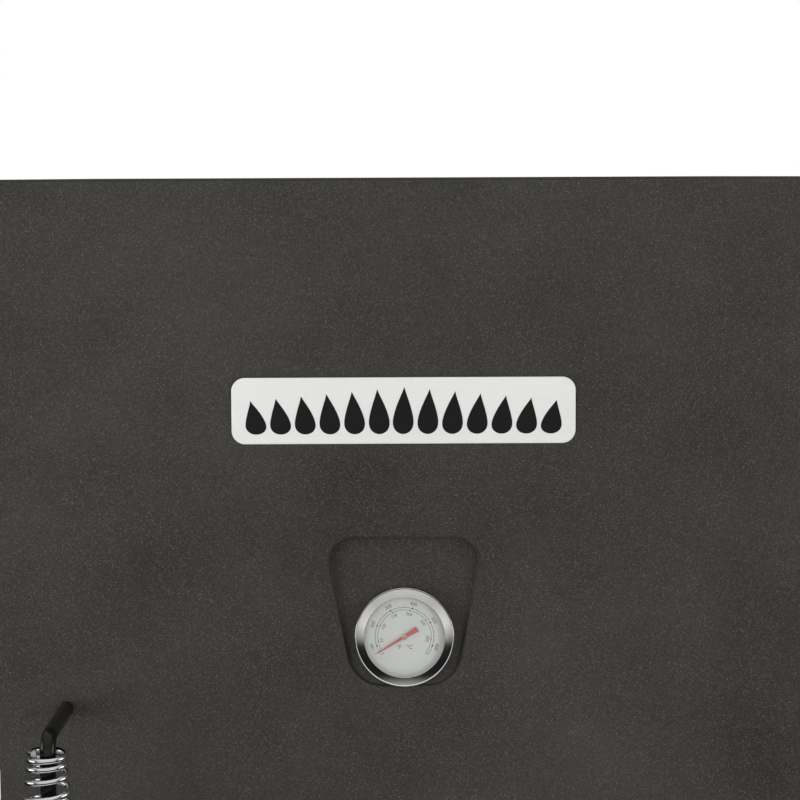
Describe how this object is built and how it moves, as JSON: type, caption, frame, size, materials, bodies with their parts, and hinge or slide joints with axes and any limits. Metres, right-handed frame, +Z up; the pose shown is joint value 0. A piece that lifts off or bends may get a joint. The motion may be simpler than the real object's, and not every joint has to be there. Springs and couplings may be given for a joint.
{
  "type": "vertical water smoker",
  "caption": "Tall square steel cabinet on legs with a gas burner, wood chip box, water pan and cooking racks behind a hinged door with a dial thermometer and a coil-grip handle.",
  "frame": {"origin": "on the ground, under the middle of the smoker's overall box", "axes": "+Z up; the door faces -Y; +X is the hinge side, at the right hand of someone facing the door"},
  "size_m": [0.5216, 0.4892, 1.104],
  "materials": {
    "cabinet_paint": "satin powder coat, warm charcoal, fine metallic fleck",
    "inner_steel": "aluminised sheet",
    "chrome": "polished",
    "enamel": "gloss vitreous enamel",
    "cast_iron": "seasoned casting",
    "brass": "turned",
    "stainless": "polished stainless",
    "plate": "brushed, with a black printed ornament",
    "dial": "white printed dial",
    "needle_red": "red lacquer",
    "glass": "clear",
    "rod_black": "gloss black",
    "knob_black": "moulded, satin",
    "foot_plastic": "moulded",
    "gasket": "woven glass rope",
    "catch_plastic": "moulded",
    "ceramic": "glazed",
    "zinc": "zinc plated",
    "lead_red": "silicone sleeve"
  },
  "bodies": {
    "cabinet": {"left_side_panel": "cabinet_paint", "right_side_panel": "cabinet_paint", "back_panel": "cabinet_paint", "roof_panel": "cabinet_paint", "front_frame": "cabinet_paint", "control_panel": "cabinet_paint", "base_panel": "inner_steel", "front_left_leg": "cabinet_paint", "front_right_leg": "cabinet_paint", "rear_left_leg": "cabinet_paint", "rear_right_leg": "cabinet_paint", "foot_caps": "foot_plastic", "leg_bolts": "zinc", "cabinet_nuts": "zinc", "panel_screws": "zinc", "left_rack_support": "inner_steel", "right_rack_support": "inner_steel", "chip_box_shelf": "inner_steel", "burner": "cast_iron", "gas_valve": "brass", "gas_inlet_pipe": "brass", "venturi_tube": "inner_steel", "igniter_electrode": "ceramic", "igniter_bracket": "inner_steel", "igniter_lead": "lead_red", "knob_ring": "chrome", "damper_rivets": "zinc", "left_side_handle": "rod_black", "right_side_handle": "rod_black", "hinge_brackets": "cabinet_paint", "hinge_pins": "zinc", "magnetic_catch": "catch_plastic", "tray_runners": "inner_steel"},
    "door": {"door_skin": "cabinet_paint", "door_liner": "inner_steel", "door_gasket": "gasket", "door_hinges": "cabinet_paint", "nameplate": "plate", "thermometer_case": "stainless", "thermometer_bezel": "stainless", "thermometer_dial": "dial", "thermometer_lens": "glass", "thermometer_nut": "stainless", "handle_rod": "rod_black", "handle_nuts": "zinc"},
    "gauge_needle": {"thermometer_needle": "needle_red"},
    "coil_grip": {"handle_coil": "chrome"},
    "left_damper_disc": {"left_damper": "cabinet_paint"},
    "right_damper_disc": {"right_damper": "cabinet_paint"},
    "rear_damper_disc": {"rear_damper": "cabinet_paint"},
    "rack_1": {"cooking_rack_1": "chrome"},
    "rack_2": {"cooking_rack_2": "chrome"},
    "rack_3": {"cooking_rack_3": "chrome"},
    "rack_4": {"cooking_rack_4": "chrome"},
    "pan": {"water_pan": "enamel"},
    "chip_tray": {"chip_box": "cast_iron"},
    "chip_cover": {"chip_box_lid": "cast_iron"},
    "grease_tray": {"drip_tray": "enamel"},
    "stem": {"valve_stem": "brass"},
    "knob": {"control_knob": "knob_black"}
  },
  "joints": [
    {"name": "door_hinge", "type": "hinge", "parent": "cabinet", "child": "door", "pos_m": [0.221, -0.14325, 0.7114], "axis": [0, 0, 1], "range_deg": [0, 160]},
    {"name": "coil_spin", "type": "hinge", "parent": "door", "child": "coil_grip", "pos_m": [-0.178, -0.23025, 0.727], "axis": [0, 0, 1], "continuous": true},
    {"name": "needle_turn", "type": "hinge", "parent": "door", "child": "gauge_needle", "pos_m": [0, -0.16329, 0.865], "axis": [0, 0.9986, -0.0523], "range_deg": [-6, 249], "stiffness_Nm_per_rad": 0.0005},
    {"name": "left_damper_turn", "type": "hinge", "parent": "cabinet", "child": "left_damper_disc", "pos_m": [-0.2138, 0.04975, 0.372], "axis": [-1, 0, 0], "range_deg": [0, 60]},
    {"name": "right_damper_turn", "type": "hinge", "parent": "cabinet", "child": "right_damper_disc", "pos_m": [0.2138, 0.04975, 0.372], "axis": [1, 0, 0], "range_deg": [0, 60]},
    {"name": "rear_damper_turn", "type": "hinge", "parent": "cabinet", "child": "rear_damper_disc", "pos_m": [0, 0.23355, 1.02], "axis": [0, 1, 0], "range_deg": [0, 60]},
    {"name": "rack_1_slide", "type": "slide", "parent": "cabinet", "child": "rack_1", "axis": [0, -1, 0], "range_m": [0, 0.018]},
    {"name": "rack_2_slide", "type": "slide", "parent": "cabinet", "child": "rack_2", "axis": [0, -1, 0], "range_m": [0, 0.018]},
    {"name": "rack_3_slide", "type": "slide", "parent": "cabinet", "child": "rack_3", "axis": [0, -1, 0], "range_m": [0, 0.018]},
    {"name": "rack_4_slide", "type": "slide", "parent": "cabinet", "child": "rack_4", "axis": [0, -1, 0], "range_m": [0, 0.018]},
    {"name": "water_pan_slide", "type": "slide", "parent": "cabinet", "child": "pan", "axis": [0, -1, 0], "range_m": [0, 0.028]},
    {"name": "chip_box_slide", "type": "slide", "parent": "cabinet", "child": "chip_tray", "axis": [0, -1, 0], "range_m": [0, 0.08]},
    {"name": "chip_lid_lift", "type": "slide", "parent": "chip_tray", "child": "chip_cover", "axis": [0, 0, 1], "range_m": [0, 0.025]},
    {"name": "drip_tray_slide", "type": "slide", "parent": "cabinet", "child": "grease_tray", "axis": [0, -1, 0], "range_m": [0, 0.25]},
    {"name": "valve_turn", "type": "hinge", "parent": "cabinet", "child": "stem", "pos_m": [0, -0.13525, 0.274], "axis": [0, -1, 0], "range_deg": [0, 180]},
    {"name": "knob_push", "type": "slide", "parent": "stem", "child": "knob", "axis": [0, 1, 0], "range_m": [0, 0.003], "stiffness_N_per_m": 600, "springref_m": -0.002}
  ]
}
